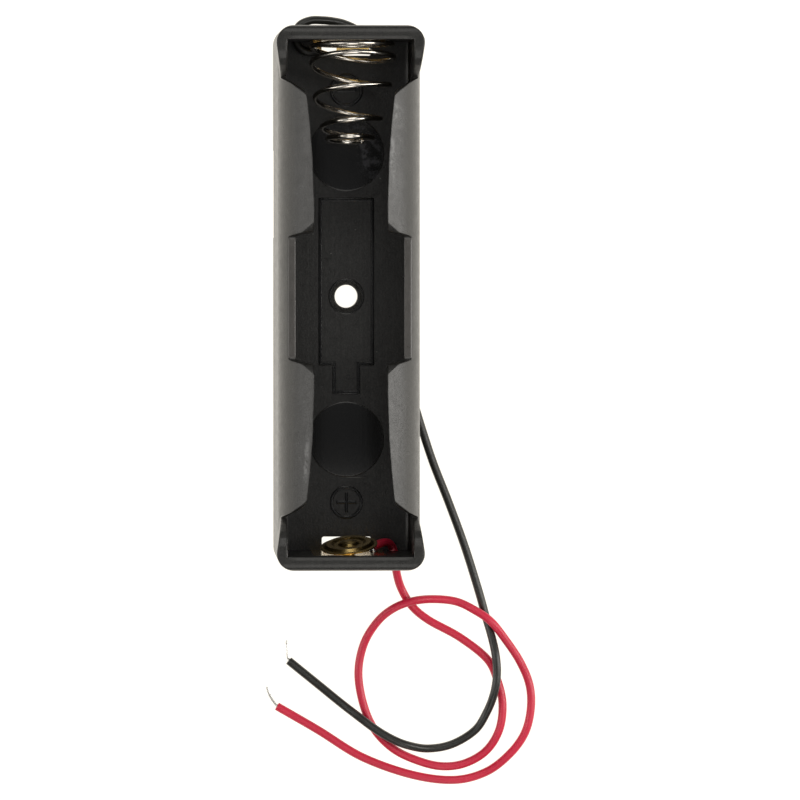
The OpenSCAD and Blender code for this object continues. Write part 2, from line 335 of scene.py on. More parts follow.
def moulded_black():
    """Spark-eroded black moulding: broad tone changes, a fine grain, flow lines along the outside,
    two smoother pads, and the scuffs and rubbed places of a handled part."""
    m, nt, b = material("moulded_black")
    co = nt.nodes.new("ShaderNodeTexCoord").outputs["Object"]
    sep = nt.nodes.new("ShaderNodeSeparateXYZ")
    link(nt, co, sep.inputs[0])
    xyz = sep.outputs
    fine = node(nt, "ShaderNodeTexNoise", Scale=4600, Detail=3.0, Roughness=0.65)
    mid = node(nt, "ShaderNodeTexNoise", Scale=900, Detail=4.0, Roughness=0.6)
    broad = node(nt, "ShaderNodeTexNoise", Scale=75, Detail=3.0, Roughness=0.55)
    for n in (fine, mid, broad):
        link(nt, co, n.inputs["Vector"])
    # flow lines: noise drawn out along the tray
    flow_map = nt.nodes.new("ShaderNodeMapping")
    flow_map.inputs["Scale"].default_value = (1.0, 0.012, 1.0)
    link(nt, co, flow_map.inputs["Vector"])
    flow = node(nt, "ShaderNodeTexNoise", Scale=2600, Detail=2.0, Roughness=0.6)
    link(nt, flow_map.outputs[0], flow.inputs["Vector"])
    low = calc(nt, "LESS_THAN", xyz[2], 2.62 * MM)
    inside = calc(nt, "LESS_THAN", calc(nt, "ABSOLUTE", xyz[0]), 8.7 * MM)
    on_floor = calc(nt, "MULTIPLY", low, inside)
    above = calc(nt, "GREATER_THAN", xyz[2], 15.0 * MM)
    pads = calc(nt, "MAXIMUM", spot(nt, xyz, 0, 20.6, 5.32, 5.32, 0.012), spot(nt, xyz, 0, -20.6, 5.32, 5.32, 0.012))
    pads = calc(nt, "MULTIPLY", pads, on_floor)
    col = ramp(nt, broad.outputs["Fac"], [(0.3, BLACK_LO), (0.7, BLACK_HI)])
    mix = node(nt, "ShaderNodeMix", data_type="RGBA", blend_type="MULTIPLY")
    mix.inputs[0].default_value = 1.0
    g = ramp(nt, fine.outputs["Fac"], [(0.32, grey(0.5)), (0.68, grey(1.45))])
    link(nt, col.outputs["Color"], mix.inputs[6])
    link(nt, g.outputs["Color"], mix.inputs[7])
    flow_mix = node(nt, "ShaderNodeMix", data_type="RGBA", blend_type="MULTIPLY")
    flow_mix.inputs[0].default_value = 0.6
    fr = ramp(nt, flow.outputs["Fac"], [(0.35, grey(0.7)), (0.65, grey(1.25))])
    link(nt, mix.outputs[2], flow_mix.inputs[6])
    link(nt, fr.outputs["Color"], flow_mix.inputs[7])
    raised = calc(nt, "MULTIPLY", calc(nt, "GREATER_THAN", xyz[2], 2.405 * MM), on_floor)
    c = mixed(nt, pads, flow_mix.outputs[2], (0.0075, 0.0076, 0.0076))
    c = mixed(nt, raised, c, (0.004, 0.004, 0.004))
    # rubbed, paler places, broken up by the grain
    torn = ramp(nt, mid.outputs["Fac"], [(0.46, grey(0.0)), (0.62, grey(1.0))]).outputs["Color"]
    rub = spot(nt, xyz, 3.3, 20.6, 1.6, 3.6, 0.5, 8)
    rub = calc(nt, "MAXIMUM", rub, spot(nt, xyz, 2.0, 23.6, 2.0, 0.9, 0.6, -30))
    rub = calc(nt, "MULTIPLY", calc(nt, "MULTIPLY", rub, torn), on_floor)
    c = mixed(nt, calc(nt, "MULTIPLY", rub, 0.5), c, (0.11, 0.11, 0.12))
    lip = spot(nt, xyz, 6.6, 26.0, 0.9, 1.6, 0.6, 15)
    lip = calc(nt, "MAXIMUM", lip, spot(nt, xyz, 5.9, 21.0, 0.35, 4.2, 0.7, 2))
    lip = calc(nt, "MAXIMUM", lip, spot(nt, xyz, -6.3, -23.0, 0.3, 3.6, 0.7, -3))
    lip = calc(nt, "MULTIPLY", calc(nt, "MULTIPLY", lip, torn), above)
    c = mixed(nt, calc(nt, "MULTIPLY", lip, 0.55), c, (0.22, 0.22, 0.22))
    line = spot(nt, xyz, 0.9, -26.1, 1.25, 0.05, 0.5, -2)
    for sx, sy, r in ((-5.3, -25.4, 0.16), (-5.15, -20.6, 0.13), (4.4, -8.0, 0.1), (-2.2, 6.2, 0.1), (4.9, 17.0, 0.12), (1.3, 9.6, 0.09), (-4.8, 9.0, 0.09)):
        line = calc(nt, "MAXIMUM", line, spot(nt, xyz, sx, sy, r, r * 0.7, 0.5))
    line = calc(nt, "MULTIPLY", line, on_floor)
    c = mixed(nt, calc(nt, "MULTIPLY", line, 0.6), c, (0.20, 0.20, 0.19))
    # the ledge top is painted paler: a painted light for the flat top that catches the lamps from every side, varied a
    # little by the mid noise
    ledge_top_light = calc(nt, "MULTIPLY", calc(nt, "GREATER_THAN", xyz[2], 16.52 * MM), calc(nt, "LESS_THAN", xyz[2], 16.68 * MM))
    ledge_top_light = calc(nt, "MULTIPLY", ledge_top_light, calc(nt, "LESS_THAN", calc(nt, "ABSOLUTE", xyz[1]), 8.5 * MM))
    ledge_top_light = calc(nt, "MULTIPLY", ledge_top_light, ramp(nt, mid.outputs["Fac"], [(0.3, grey(0.75)), (0.7, grey(1.0))]).outputs["Color"])
    c = mixed(nt, ledge_top_light, c, (0.062, 0.058, 0.054))
    link(nt, c, b.inputs["Base Color"])
    rr = ramp(nt, mid.outputs["Fac"], [(0.3, grey(0.27)), (0.7, grey(0.37))])
    rough = mixed(nt, pads, rr.outputs["Color"], grey(0.22))
    rough = mixed(nt, raised, rough, grey(0.16))
    link(nt, rough, b.inputs["Roughness"])
    # grain, left out on the pads
    keep = calc(nt, "SUBTRACT", 1.0, calc(nt, "MULTIPLY", pads, 0.85))
    bump1 = node(nt, "ShaderNodeBump", Distance=0.00004)
    link(nt, calc(nt, "MULTIPLY", keep, 0.55), bump1.inputs["Strength"])
    bump2 = node(nt, "ShaderNodeBump", Distance=0.00007)
    link(nt, calc(nt, "MULTIPLY", keep, 0.45), bump2.inputs["Strength"])
    bump3 = node(nt, "ShaderNodeBump", Strength=0.16, Distance=0.00005)
    link(nt, fine.outputs["Fac"], bump1.inputs["Height"])
    link(nt, mid.outputs["Fac"], bump2.inputs["Height"])
    link(nt, flow.outputs["Fac"], bump3.inputs["Height"])
    link(nt, bump1.outputs["Normal"], bump2.inputs["Normal"])
    link(nt, bump2.outputs["Normal"], bump3.inputs["Normal"])
    link(nt, bump3.outputs["Normal"], b.inputs["Normal"])
    b.inputs["Specular IOR Level"].default_value = 0.5
    return m


def metal(name, base, rough, tarnish, scale=900, amount=0.35):
    m, nt, b = material(name)
    co = nt.nodes.new("ShaderNodeTexCoord").outputs["Object"]
    n1 = node(nt, "ShaderNodeTexNoise", Scale=scale, Detail=4.0, Roughness=0.6)
    n2 = node(nt, "ShaderNodeTexNoise", Scale=scale * 6, Detail=2.0, Roughness=0.6)
    link(nt, co, n1.inputs["Vector"])
    link(nt, co, n2.inputs["Vector"])
    c = ramp(nt, n1.outputs["Fac"], [(0.5 - amount / 2, tarnish), (0.5 + amount / 2, base)])
    link(nt, c.outputs["Color"], b.inputs["Base Color"])
    r = ramp(nt, n2.outputs["Fac"], [(0.3, grey(rough * 0.8)), (0.7, grey(rough * 1.3))])
    link(nt, r.outputs["Color"], b.inputs["Roughness"])
    bump = node(nt, "ShaderNodeBump", Strength=0.12, Distance=0.00002)
    link(nt, n2.outputs["Fac"], bump.inputs["Height"])
    link(nt, bump.outputs["Normal"], b.inputs["Normal"])
    b.inputs["Metallic"].default_value = 1.0
    return m


def pvc(name, c0, c1, rough=0.38):
    m, nt, b = material(name)
    co = nt.nodes.new("ShaderNodeTexCoord").outputs["Object"]
    n1 = node(nt, "ShaderNodeTexNoise", Scale=140, Detail=2.0, Roughness=0.5)
    n2 = node(nt, "ShaderNodeTexNoise", Scale=2600, Detail=3.0, Roughness=0.6)
    link(nt, co, n1.inputs["Vector"])
    link(nt, co, n2.inputs["Vector"])
    c = ramp(nt, n1.outputs["Fac"], [(0.3, c0), (0.7, c1)])
    link(nt, c.outputs["Color"], b.inputs["Base Color"])
    r = ramp(nt, n2.outputs["Fac"], [(0.3, grey(rough - 0.06)), (0.7, grey(rough + 0.08))])
    link(nt, r.outputs["Color"], b.inputs["Roughness"])
    bump = node(nt, "ShaderNodeBump", Strength=0.10, Distance=0.00003)
    link(nt, n2.outputs["Fac"], bump.inputs["Height"])
    link(nt, bump.outputs["Normal"], b.inputs["Normal"])
    return m


BLACK_LO, BLACK_HI = (0.0125, 0.0122, 0.0110), (0.0190, 0.0184, 0.0168)
BLACK_PLASTIC = moulded_black()
BRASS = metal("stamped_brass", (0.83, 0.62, 0.25), 0.20, (0.55, 0.36, 0.12))
NICKEL = metal("spring_wire", (0.78, 0.74, 0.68), 0.16, (0.50, 0.46, 0.40))
TIN = metal("tinned", (0.80, 0.79, 0.76), 0.24, (0.55, 0.54, 0.52))
RED = pvc("red_pvc", (0.54, 0.014, 0.045), (0.63, 0.019, 0.056))
BLACK_PVC = pvc("black_pvc", (0.012, 0.012, 0.010), (0.018, 0.018, 0.015), 0.34)

# ------------------------------------------------------------------ leads made
STEPS = 9
red_path = catmull(RED_ROUTE, STEPS)
black_path = catmull(BLACK_ROUTE, STEPS)
v, f = lead_mesh(red_path)
red = add_mesh("red_lead_jacket", v, f, RED, sharp=60)
v, f = lead_mesh(black_path)
black = add_mesh("black_lead_jacket", v, f, BLACK_PVC, sharp=60)
v, f = strands([(-9.6, -59.5, 0.6), (-10.2, -59, 0.5), (-11, -57.8, 0.4), (-11.5, -56.5, 0.3)])
red_end = add_mesh("red_strands", v, f, TIN, sharp=60)
v, f = strands([(-8, -53, 0.6), (-8.4, -52.3, 0.5), (-8.5, -51, 0.4), (-8.6, -49.8, 0.3)])
black_end = add_mesh("black_strands", v, f, TIN, sharp=60)
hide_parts("red_lead")
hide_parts("black_lead")
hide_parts("red_lead_end")
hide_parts("black_lead_end")
print("lead lengths mm", round(length(red_path), 1), round(length(black_path), 1))


# ------------------------------------------------------------------ tray
def interp(x, table):
    xs, ys = zip(*table)
    return float(np.interp(x, xs, ys))


MOUTH = [(0, 5.2), (14, 5.2), (20, 5.4), (24.5, 5.75), (27.6, 6.07), (28.7, 6.2), (29.4, 6.5), (29.8, 7.0),
         (30.45, 7.95), (31.0, 9.0), (31.2, BAY_IN), (40, BAY_IN)]
TOPS = [(0, LEDGE), (8.2, LEDGE), (8.5, LEDGE + 0.05), (8.75, LEDGE + 0.18), (8.9, LEDGE + 0.4), (8.97, LEDGE + 0.7), (9.1, 18.5),
        (9.2, 18.85), (9.45, 19.2), (10.15, 19.82), (10.5, 20.07), (10.7, 20.28), (10.85, 20.6), (11.0, 21.5), (11.2, 24), (28.0, 24), (28.3, 20.4), (28.7, 19.6), (29.4, 18.9),
        (29.8, 18.35), (30.45, 17.3), (30.9, 15.9), (31.15, 15.1), (31.35, 15.1), (31.7, 16.1), (32.2, 17.4),
        (33.0, 18.8), (34.0, 19.75), (35.0, 20.1), (LY, BODY_H), (40, BODY_H)]


def prism(s):
    if s < 31:
        return 0.0
    return 9.75 + (HW - 9.75) * min(1.0, (s - 31) / 5.0)


def plan(s):
    """Half width allowed by the rounded corners of the footprint."""
    if s <= HL - CORNER:
        return HW
    return HW - CORNER + math.sqrt(max(0.0, CORNER ** 2 - (s - (HL - CORNER)) ** 2))


def outer_curve(s, z_end, n=60):
    pts = []
    p, c = prism(s), plan(s)
    for z in np.linspace(0, ZC, 14):
        pts.append((min(c, max(HW - (HW - RO) * z / ZC, p)), z))
    phi = math.asin(min(0.9999, (z_end - ZC) / RO))
    for a in np.linspace(0, phi, n)[1:]:
        pts.append((min(c, max(RO * math.cos(a), p)), ZC + RO * math.sin(a)))
    return pts


def half_section(s):
    """Dense right half of the section at |Y| = s, and where its landmarks lie along it."""
    m, top = interp(s, MOUTH), interp(s, TOPS)
    z_o = min(top, ZC + math.sqrt(RO ** 2 - m ** 2)) if prism(s) <= m else top
    z_o = min(z_o, BODY_H)
    pts = [(0.0, 0.0)]
    out = outer_curve(s, z_o)
    pts += [(x, 0.0) for x in np.linspace(0, out[0][0], 30)[1:-1]]
    pts += out
    i_oe = len(pts) - 1
    x_i = max(math.sqrt(max(0, RI ** 2 - (z_o - ZC) ** 2)), m)
    x_i = min(x_i, pts[-1][0])
    if pts[-1][0] - x_i > 0.02:
        pts += [(x, z_o) for x in np.linspace(pts[-1][0], x_i, 12)[1:]]
    i_rc = len(pts) - 1
    psi = math.asin(min(0.9999, (z_o - ZC) / RI))
    for a in np.linspace(psi, 0, 90)[1:]:
        pts.append((max(RI * math.cos(a), m), ZC + RI * math.sin(a)))
    i_zi = len(pts) - 1
    fr = 0.6
    for z in np.linspace(ZC, FLOOR + fr, 12)[1:]:
        pts.append((RI, z))
    for a in np.linspace(0, math.pi / 2, 10)[1:]:
        pts.append((RI - fr + fr * math.cos(a), FLOOR + fr - fr * math.sin(a)))
    i_fc = len(pts) - 5
    for x in np.linspace(RI - fr, 0, 30)[1:]:
        pts.append((x, FLOOR))
    return np.array(pts), i_oe, i_rc, i_zi, i_fc


def smooth_eval(pts, at, sigma, closed_ends=True):
    """Points of the polyline at arc lengths `at`, softened over sigma; the ends stay put."""
    seg = np.linalg.norm(np.diff(pts, axis=0), axis=1)
    cum = np.concatenate([[0], np.cumsum(seg)])
    at = np.asarray(at, float)
    k = np.linspace(-3, 3, 25)
    w = np.exp(-k * k / 2)
    w /= w.sum()
    out = np.zeros((len(at), 2))
    for kk, ww in zip(k, w):
        q = np.clip(at + kk * sigma, 0, cum[-1])
        # reflect at the ends, which lie on the middle plane
        over = at + kk * sigma
        x = np.interp(q, cum, pts[:, 0])
        z = np.interp(q, cum, pts[:, 1])
        x = np.where((over < 0) | (over > cum[-1]), x - np.minimum(np.abs(over - q), 5), x)
        out[:, 0] += ww * x
        out[:, 1] += ww * z
    return out, cum


SIGMA = 0.12
N_BOT, N_COR, N_LOW, N_ARC, N_RIM, N_IN, N_WALL, N_FIL, N_FLR = 4, 6, 6, 16, 26, 14, 4, 7, 5


def sample_at(cum, i_b, i_zo, i_oe, i_rc, i_zi, i_fc):
    b, zo, oe, rc, zi, fc = (cum[i] for i in (i_b, i_zo, i_oe, i_rc, i_zi, i_fc))
    at = list(np.linspace(0, b - 0.45, N_BOT))
    at += list(np.linspace(b - 0.45, b + 0.45, N_COR + 1)[1:])
    at += list(np.linspace(b + 0.45, zo, N_LOW + 1)[1:])
    at += list(np.linspace(zo, oe - 0.5, N_ARC + 1)[1:])
    at += list(np.linspace(oe - 0.5, rc + 1.6, N_RIM + 1)[1:])
    at += list(np.linspace(rc + 1.6, zi, N_IN + 1)[1:])
    at += list(np.linspace(zi, fc - 0.8, N_WALL + 1)[1:])
    at += list(np.linspace(fc - 0.8, fc + 0.8, N_FIL + 1)[1:])
    at += list(np.linspace(fc + 0.8, cum[-1], N_FLR + 1)[1:])
    return np.array(at)


def cum_of(pts):
    return np.concatenate([[0], np.cumsum(np.linalg.norm(np.diff(pts, axis=0), axis=1))])


def section(s):
    pts, i_oe, i_rc, i_zi, i_fc = half_section(s)
    cum = cum_of(pts)
    i_b = 29
    i_zo = 29 + 13
    at = sample_at(cum, i_b, i_zo, i_oe, i_rc, i_zi, i_fc)
    out, _ = smooth_eval(pts, at, SIGMA)
    out[0] = (0, 0)
    out[-1] = (0, FLOOR)
    k_star = int(np.argmin(np.abs(at - cum[i_rc])))
    return out, k_star, cum[i_oe], cum[i_rc]


def wall_section(s, k_star, at_rim):
    """Outline of the end wall at |Y| = s, sampled like section() as far as the rim, then across the top."""
    r_out, r_in = 1.1, 0.25
    top = BODY_H
    if s > HL - r_out:
        top = BODY_H - r_out + math.sqrt(max(0, r_out ** 2 - (s - (HL - r_out)) ** 2))
    out = outer_curve(s, top)
    pts = [(0.0, 0.0)]
    pts += [(x, 0.0) for x in np.linspace(0, out[0][0], 30)[1:-1]]
    pts += out
    i_oe = len(pts) - 1
    pts += [(x, top) for x in np.linspace(pts[-1][0], 0, 40)[1:]]
    pts = np.array(pts)
    cum = cum_of(pts)
    b, zo, oe = cum[29], cum[42], cum[i_oe]
    at = list(np.linspace(0, b - 0.45, N_BOT))
    at += list(np.linspace(b - 0.45, b + 0.45, N_COR + 1)[1:])
    at += list(np.linspace(b + 0.45, zo, N_LOW + 1)[1:])
    at += list(np.linspace(zo, oe - 0.5, N_ARC + 1)[1:])
    n0 = len(at)
    rim = k_star - n0 + 1
    at += list(np.linspace(oe - 0.5, oe + at_rim, rim + 1)[1:])
    at += list(np.linspace(oe + at_rim, cum[-1], 13)[1:])
    out2, _ = smooth_eval(pts, at, 0.22 if s > LY + 0.3 else SIGMA)
    out2[0] = (0, 0)
    out2[-1] = (0, top)
    # soften the edge over the inner face
    if s < LY + 0.52:
        # a shallow slope in, then a small round over the edge
        q = s - LY
        drop = float(np.interp(q, [0, 0.03, 0.08, 0.2, 0.36, 0.44, 0.52], [0.27, 0.195, 0.155, 0.108, 0.045, 0.018, 0.0]))
        for j in range(k_star + 1, len(out2)):
            out2[j, 1] -= drop * min(1.0, (j - k_star) / 1.0)
    return out2


def stations():
    st = []

    def run(a, b, step):
        n = max(1, int(round((b - a) / step)))
        st.extend(list(np.linspace(a, b, n + 1)[:-1]))
    run(0, 7.6, 1.3)
    run(7.6, 8.4, 0.2)
    run(8.4, 12.4, 0.11)
    run(12.4, 13.6, 0.3)
    run(13.6, 27.2, 1.3)
    run(27.2, 28.2, 0.25)
    run(28.2, 29.2, 0.14)
    run(29.2, 32.4, 0.09)
    run(32.4, 34.4, 0.16)
    run(34.4, LY, 0.35)
    st.append(LY)
    return st


def build_tray():
    st = stations()
    ys = [-s for s in st[::-1]] + st[1:]
    secs = {}
    for s in st:
        secs[s] = section(s)
    base = np.array([secs[s][0] for s in st])          # station, point, (x, z)
    # a little softening from station to station, so that cut corners turn gently
    ylist = np.array(st)
    soft = base.copy()
    sig = 0.11
    for i, s in enumerate(st):
        if s < 7 or 13 < s < 27.6 or s >= LY - 0.2:
            continue
        j = [k for k in range(len(st)) if abs(ylist[k] - s) < 3 * sig]
        w = np.array([math.exp(-((ylist[k] - s) / sig) ** 2 / 2) for k in j])
        # weigh by spacing
        gap = np.array([(ylist[min(k + 1, len(st) - 1)] - ylist[max(k - 1, 0)]) / 2 for k in j])
        w = w * gap
        soft[i] = (base[j] * w[:, None, None]).sum(0) / w.sum()
    n = base.shape[1]
    full = 2 * n - 2
    verts, faces = [], []
    index = {}
    for yi, y in enumerate(ys):
        s = abs(y)
        P = soft[st.index(s)]
        loop = [(x, y, z) for x, z in P] + [(-x, y, z) for x, z in P[-2:0:-1]]
        index[yi] = len(verts)
        verts += loop
    for yi in range(len(ys) - 1):
        a, b = index[yi], index[yi + 1]
        for k in range(full):
            k2 = (k + 1) % full
            faces.append((a + k, b + k, b + k2, a + k2))
    # end walls
    k_star, oe, rc = secs[LY][1], secs[LY][2], secs[LY][3]
    ss = [LY] + [LY + d for d in (0.03, 0.08, 0.2, 0.36, 0.44, 0.52, 0.7)]
    ss += [HL - CORNER + CORNER * math.sin(a) for a in np.linspace(math.asin((LY + 0.9 - HL + CORNER) / CORNER), math.pi / 2, 14)]
    ss = sorted(set(round(x, 5) for x in ss))
    for sign in (1, -1):
        first = index[len(ys) - 1] if sign > 0 else index[0]
        prev = None
        for i, s in enumerate(ss):
            W = wall_section(s, k_star, rc - oe)
            m = len(W)
            if i == 0:
                ids = [first + k for k in range(k_star + 1)]
                for x, z in W[k_star + 1:]:
                    ids.append(len(verts))
                    verts.append((x, sign * s, z))
                left_shared = [first + full - k for k in range(1, k_star + 1)]
                left_new = []
                for x, z in W[k_star + 1:-1][::-1]:
                    left_new.append(len(verts))
                    verts.append((-x, sign * s, z))
                loop = ids + left_new + left_shared[::-1]
                inner = [first + k for k in range(k_star, full - k_star + 1)]
                top_line = ids[k_star + 1:] + left_new
                face = inner + top_line[::-1]
                faces.append(tuple(face if sign > 0 else face[::-1]))
            else:
                loop = []
                for x, z in W:
                    loop.append(len(verts))
                    verts.append((x, sign * s, z))
                for x, z in W[-2:0:-1]:
                    loop.append(len(verts))
                    verts.append((-x, sign * s, z))
            if prev:
                L = len(loop)
                for k in range(L):
                    k2 = (k + 1) % L
                    q = (prev[k], loop[k], loop[k2], prev[k2])
                    faces.append(q if sign > 0 else q[::-1])
            prev = loop
        faces.append(tuple(prev if sign > 0 else prev[::-1]))
    return verts, faces


def prism_mesh(outline, z0, z1, flare=0.0, flare_h=0.0):
    """Closed prism over a plan outline; flare widens its top."""
    o = np.array(outline, float)
    n = len(o)
    c = o.mean(0)
    rows = [(0, z0), (0, z1)] if not flare else [(0, z0), (0, z1 - flare_h), (flare, z1)]
    verts, faces = [], []
    nxt, prv = np.roll(o, -1, 0), np.roll(o, 1, 0)
    e1 = (o - prv) / np.linalg.norm(o - prv, axis=1)[:, None]
    e2 = (nxt - o) / np.linalg.norm(nxt - o, axis=1)[:, None]
    n1 = np.stack([e1[:, 1], -e1[:, 0]], 1)
    n2 = np.stack([e2[:, 1], -e2[:, 0]], 1)
    mit = (n1 + n2) / (1 + (n1 * n2).sum(1))[:, None]
    for d, z in rows:
        for p in o + d * mit:
            verts.append((p[0], p[1], z))
    for r in range(len(rows) - 1):
        for k in range(n):
            a, b = r * n + k, r * n + (k + 1) % n
            faces.append((a, b, b + n, a + n))
    faces.append(tuple(range(n))[::-1])
    faces.append(tuple((len(rows) - 1) * n + k for k in range(n)))
    return verts, faces


def strip_mesh(outer, rows):
    """Ring-shaped ridge: rows of (offset outwards from the closed path, height); a closed tube of quads."""
    o = np.array(outer, float)
    n = len(o)
    nxt, prv = np.roll(o, -1, 0), np.roll(o, 1, 0)
    e1 = (o - prv) / np.linalg.norm(o - prv, axis=1)[:, None]
    e2 = (nxt - o) / np.linalg.norm(nxt - o, axis=1)[:, None]
    n1 = np.stack([e1[:, 1], -e1[:, 0]], 1)
    n2 = np.stack([e2[:, 1], -e2[:, 0]], 1)
    mit = (n1 + n2) / (1 + (n1 * n2).sum(1))[:, None]
    verts, faces = [], []
    for d, z in rows:
        for p in o + d * mit:
            verts.append((p[0], p[1], z))
    m = len(rows)
    for r in range(m):
        r2 = (r + 1) % m
        for k in range(n):
            k2 = (k + 1) % n
            faces.append((r * n + k, r * n + k2, r2 * n + k2, r2 * n + k))
    return verts, faces


def circle(r, cx=0, cy=0, n=72):
    return [(cx + r * math.cos(2 * math.pi * k / n), cy + r * math.sin(2 * math.pi * k / n)) for k in range(n)]


def rounded_rect(x0, y0, x1, y1, r, n=5):
    pts = []
    for cx, cy, a0 in ((x1 - r, y0 + r, -90), (x1 - r, y1 - r, 0), (x0 + r, y1 - r, 90), (x0 + r, y0 + r, 180)):
        for k in range(n + 1):
            a = math.radians(a0 + 90 * k / n)
            pts.append((cx + r * math.cos(a), cy + r * math.sin(a)))
    return pts


def lathe(profile, n=72, cx=0, cy=0):
    """Closed solid turned about Z from a profile that starts and ends on the axis."""
    verts, faces = [], []
    rings = []
    for r, z in profile:
        if r < 1e-6:
            rings.append([len(verts)])
            verts.append((cx, cy, z))
        else:
            rings.append(list(range(len(verts), len(verts) + n)))
            verts += [(cx + r * math.cos(2 * math.pi * k / n), cy + r * math.sin(2 * math.pi * k / n), z) for k in range(n)]
    for a, b in zip(rings, rings[1:]):
        for k in range(n):
            k2 = (k + 1) % n
            if len(a) == 1:
                faces.append((a[0], b[k2], b[k]))
            elif len(b) == 1:
                faces.append((a[k], a[k2], b[0]))
            else:
                faces.append((a[k], a[k2], b[k2], b[k]))
    return verts, faces


def merged(parts):
    verts, faces = [], []
    for v, f in parts:
        o = len(verts)
        verts += list(v)
        faces += [tuple(i + o for i in g) for g in f]
    return verts, faces


def turned_half(vf):
    """The same thing turned half round about Z."""
    v, f = vf
    return [(-x, -y, z) for x, y, z in v], f


def outward(ob):
    """All faces of a closed mesh turned to face outwards."""
    bm = bmesh.new()
    bm.from_mesh(ob.data)
    bmesh.ops.recalc_face_normals(bm, faces=bm.faces)
    bm.to_mesh(ob.data)
    bm.free()


def tool_object(name, vf):
    v, f = vf
    ob = add_mesh(name, v, f, None, sharp=30, body=None)
    outward(ob)
    return ob


def cut(ob, vf, how):
    t = tool_object("tool", vf)
    md = ob.modifiers.new("cut", "BOOLEAN")
    md.operation = how
    md.solver = "MANIFOLD"
    md.object = t
    dg = bpy.context.evaluated_depsgraph_get()
    me = bpy.data.meshes.new_from_object(ob.evaluated_get(dg))
    old = ob.data
    ob.modifiers.clear()
    ob.data = me
    bpy.data.meshes.remove(old)
    bpy.data.objects.remove(t)


def ridge_rows(w, z, h, r=0.07):
    """Rows for a ridge of width w standing h above z, with soft top edges."""
    o = w / 2
    return [(o + 0.04, z - 0.15), (o, z + h - 2 * r), (o - 0.3 * r, z + h - 0.8 * r), (o - r, z + h - 0.15 * r), (o - 1.6 * r, z + h),
            (-o + 1.6 * r, z + h), (-o + r, z + h - 0.15 * r), (-o + 0.3 * r, z + h - 0.8 * r), (-o, z + h - 2 * r), (-o - 0.04, z - 0.15)]


def bar(x0, y0, x1, y1, z, h):
    """Low flat-topped bar with a soft edge."""
    o = rounded_rect(x0, y0, x1, y1, 0.12, 3)
    rows = [(0.04, z - 0.15), (0.0, z + h - 0.12), (-0.03, z + h - 0.04), (-0.09, z + h)]
    a = np.array(o)
    n = len(a)
    nxt, prv = np.roll(a, -1, 0), np.roll(a, 1, 0)
    e = (nxt - prv) / np.linalg.norm(nxt - prv, axis=1)[:, None]
    nn = np.stack([e[:, 1], -e[:, 0]], 1)
    verts, faces = [], []
    for d, zz in rows:
        for p in a + d * nn:
            verts.append((p[0], p[1], zz))
    for r in range(len(rows) - 1):
        for k in range(n):
            i, j = r * n + k, r * n + (k + 1) % n
            faces.append((i, j, j + n, i + n))
    faces.append(tuple(range(n))[::-1])
    faces.append(tuple((len(rows) - 1) * n + k for k in range(n)))
    return verts, faces


v, f = build_tray()
tray = add_mesh("tray", v, f, BLACK_PLASTIC, sharp=None, body=None)
outward(tray)
# 1: recess under the floor and the ways out for the black lead
pocket = prism_mesh(rounded_rect(-8.5, -34.2, 8.5, 34.2, 0.8), -1, 1.35)
way_end = prism_mesh(rounded_rect(-2, 33.0, 6.0, HL + 2, 0.5), -1, 1.6)
way_side = prism_mesh(rounded_rect(7.6, -21, HW + 2, -8.4, 0.5), -1, 1.35)
for part in (pocket, way_end, turned_half(way_end), way_side, turned_half(way_side)):
    cut(tray, part, "DIFFERENCE")
# 2: what stands on the floor, and the boss under it
LW, LHT = 0.5, 0.2
ring = lambda cy: strip_mesh(circle(2.17, 0, cy), ridge_rows(0.46, FLOOR, LHT))
outline = [(-3.75, 13.95), (-3.75, -9.7), (-1.75, -9.7), (-1.75, -13.85), (1.75, -13.85), (1.75, -9.7), (3.75, -9.7), (3.75, 13.95)]
marks = [ring(29.7), ring(-29.7), strip_mesh(outline, ridge_rows(LW, FLOOR, LHT)),
         bar(-1.45, 29.47, 1.45, 29.93, FLOOR, LHT), bar(-1.45, -29.93, 1.45, -29.47, FLOOR, LHT),
         bar(-0.23, -31.15, 0.23, -28.25, FLOOR, LHT + 0.003)]
pad = lambda cy: lathe([(0, FLOOR - 0.2), (5.5, FLOOR - 0.2), (5.45, FLOOR + 0.02), (5.38, FLOOR + 0.08), (5.25, FLOOR + 0.1), (0, FLOOR + 0.1)], 96, 0, cy)
marks += [pad(20.6), pad(-20.6)]
marks.append(strip_mesh(circle(2.42), [(0.2, FLOOR - 0.1), (0.17, FLOOR + 0.05), (0.09, FLOOR + 0.11), (0, FLOOR + 0.12), (-0.09, FLOOR + 0.11), (-0.2, FLOOR - 0.1)]))
for part in marks:
    cut(tray, part, "UNION")
cut(tray, lathe([(0, 0.0), (3.6, 0.0), (3.6, 1.6), (0, 1.6)], 64), "UNION")
# 3: what goes through
hole = lathe([(0, -1), (1.65, -1), (1.65, 1.62), (1.72, 1.75), (2.18, 2.28), (2.26, 2.40), (2.28, 3.2), (0, 3.2)], 72)
slot = prism_mesh(rounded_rect(-3.55, 34.67, 3.55, LY + 0.01, 0.3, 4), -1, FLOOR + 0.06, 0.1, 0.12)
seat = prism_mesh(rounded_rect(-5.2, LY - 0.3, 5.2, LY + 0.35, 0.05, 2), FLOOR - 0.012, 16.0)
lead_hole_plan = [(-8.6, FLOOR - 0.011), (-5.8, FLOOR - 0.011), (-5.8, FLOOR + 1.4)]
lead_hole_plan += [(-7.2 + 1.4 * math.cos(math.radians(a)), FLOOR + 1.4 + 1.4 * math.sin(math.radians(a))) for a in range(10, 180, 10)]
lead_hole_plan += [(-8.6, FLOOR + 1.4)]
pv, pf = prism_mesh(lead_hole_plan, LY - 0.5, HL + 1)
lead_hole = ([(x, z, y) for x, y, z in pv], pf)
cut(tray, hole, "DIFFERENCE")
for part in (slot, seat, lead_hole):
    cut(tray, part, "DIFFERENCE")
    cut(tray, turned_half(part), "DIFFERENCE")
